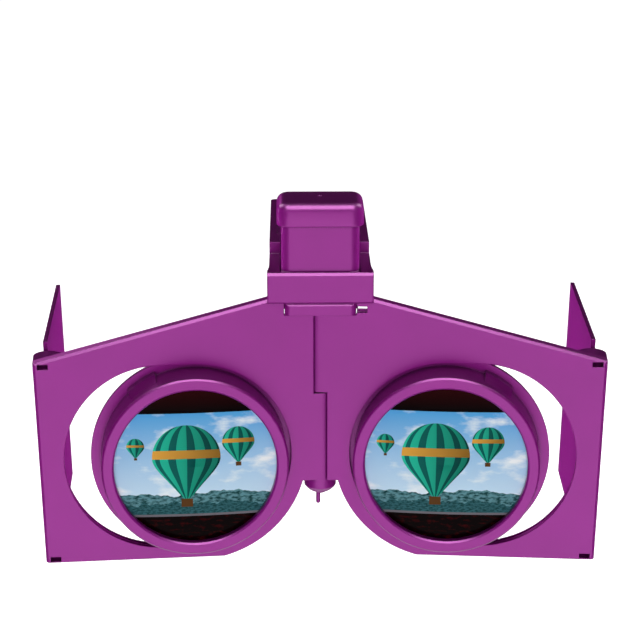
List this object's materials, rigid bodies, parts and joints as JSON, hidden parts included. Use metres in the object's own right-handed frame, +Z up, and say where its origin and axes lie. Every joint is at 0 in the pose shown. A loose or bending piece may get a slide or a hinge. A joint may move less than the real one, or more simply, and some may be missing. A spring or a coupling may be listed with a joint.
{
  "type": "virtual reality headset",
  "caption": "Folding clip-on phone viewer: hinged lens wings, sliding round eyepieces, fold-in side flaps and a sprung phone clamp on top.",
  "frame": {"origin": "the phone seat: middle of the clamp, where the front pad's face meets the underside of the arm that rests on the phone's top edge", "axes": "+Z up, +Y from the eyes toward the phone and out through its back, +X to the right seen from the eyes"},
  "size_m": [0.1315, 0.0716, 0.085],
  "materials": {
    "clamp_base": "injection-moulded ABS, glossy purple",
    "channel_cover": "injection-moulded ABS, glossy purple",
    "thumb_slider": "injection-moulded ABS, glossy purple",
    "slider_cap": "injection-moulded ABS, glossy purple",
    "rear_jaw": "injection-moulded ABS, glossy purple",
    "hinge_pin": "moulded acetal pin, purple",
    "front_pad": "moulded soft rubber, matt",
    "rear_pad": "moulded soft rubber, matt",
    "cover_screws": "bright zinc-plated steel",
    "guide_rods": "bright zinc-plated steel",
    "jaw_screws": "bright zinc-plated steel",
    "slider_springs": "bright zinc-plated steel",
    "left_wing": "injection-moulded ABS, glossy purple",
    "left_lens_holder": "injection-moulded ABS, glossy purple",
    "left_flap": "injection-moulded ABS, glossy purple",
    "left_slide_keeper": "injection-moulded ABS, purple, inner face",
    "left_lens_retainer": "injection-moulded ABS, purple, inner face",
    "left_keeper_screws": "bright zinc-plated steel",
    "left_flap_pin": "drawn steel wire",
    "left_lens": "polished clear acrylic with a printed show picture",
    "right_wing": "injection-moulded ABS, glossy purple",
    "right_lens_holder": "injection-moulded ABS, glossy purple",
    "right_flap": "injection-moulded ABS, glossy purple",
    "right_slide_keeper": "injection-moulded ABS, purple, inner face",
    "right_lens_retainer": "injection-moulded ABS, purple, inner face",
    "right_keeper_screws": "bright zinc-plated steel",
    "right_flap_pin": "drawn steel wire",
    "right_lens": "polished clear acrylic with a printed show picture"
  },
  "bodies": {
    "clamp": {"clamp_base": "clamp_base", "channel_cover": "channel_cover", "cover_screws": "cover_screws", "front_pad": "front_pad", "guide_rods": "guide_rods", "hinge_pin": "hinge_pin"},
    "slider": {"thumb_slider": "thumb_slider", "slider_cap": "slider_cap", "rear_jaw": "rear_jaw", "rear_pad": "rear_pad", "jaw_screws": "jaw_screws", "slider_springs": "slider_springs"},
    "left_wing": {"left_wing": "left_wing", "left_slide_keeper": "left_slide_keeper", "left_keeper_screws": "left_keeper_screws", "left_flap_pin": "left_flap_pin"},
    "left_eyepiece": {"left_lens_holder": "left_lens_holder", "left_lens": "left_lens", "left_lens_retainer": "left_lens_retainer"},
    "left_flap": {"left_flap": "left_flap"},
    "right_wing": {"right_wing": "right_wing", "right_slide_keeper": "right_slide_keeper", "right_keeper_screws": "right_keeper_screws", "right_flap_pin": "right_flap_pin"},
    "right_eyepiece": {"right_lens_holder": "right_lens_holder", "right_lens": "right_lens", "right_lens_retainer": "right_lens_retainer"},
    "right_flap": {"right_flap": "right_flap"}
  },
  "joints": [
    {"name": "clamp_slide", "type": "slide", "parent": "clamp", "child": "slider", "axis": [0, 1, 0], "range_m": [0, 0.008], "stiffness_N_per_m": 300, "springref_m": -0.008, "deforming": ["slider_springs"]},
    {"name": "left_wing_fold", "type": "hinge", "parent": "clamp", "child": "left_wing", "pos_m": [0, -0.0483, 0], "axis": [0, 0, -1], "range_deg": [0, 75]},
    {"name": "left_flap_fold", "type": "hinge", "parent": "left_wing", "child": "left_flap", "pos_m": [-0.06169, -0.05225, -0.0627], "axis": [0.0245, 0.0021, -0.9997], "range_deg": [0, 86.25]},
    {"name": "left_lens_slide", "type": "slide", "parent": "left_wing", "child": "left_eyepiece", "axis": [-0.9964, -0.0849, 0], "range_m": [0, 0.0074]},
    {"name": "right_wing_fold", "type": "hinge", "parent": "clamp", "child": "right_wing", "pos_m": [0, -0.0483, 0], "axis": [0, 0, 1], "range_deg": [0, 75]},
    {"name": "right_flap_fold", "type": "hinge", "parent": "right_wing", "child": "right_flap", "pos_m": [0.06169, -0.05225, -0.0627], "axis": [0.0245, -0.0021, 0.9997], "range_deg": [0, 86.25]},
    {"name": "right_lens_slide", "type": "slide", "parent": "right_wing", "child": "right_eyepiece", "axis": [0.9964, -0.0849, 0], "range_m": [0, 0.0074]}
  ],
  "couplings": [
    {"joint": "left_flap_fold", "follows": "left_wing_fold", "ratio": 1.15},
    {"joint": "right_flap_fold", "follows": "right_wing_fold", "ratio": 1.15}
  ]
}
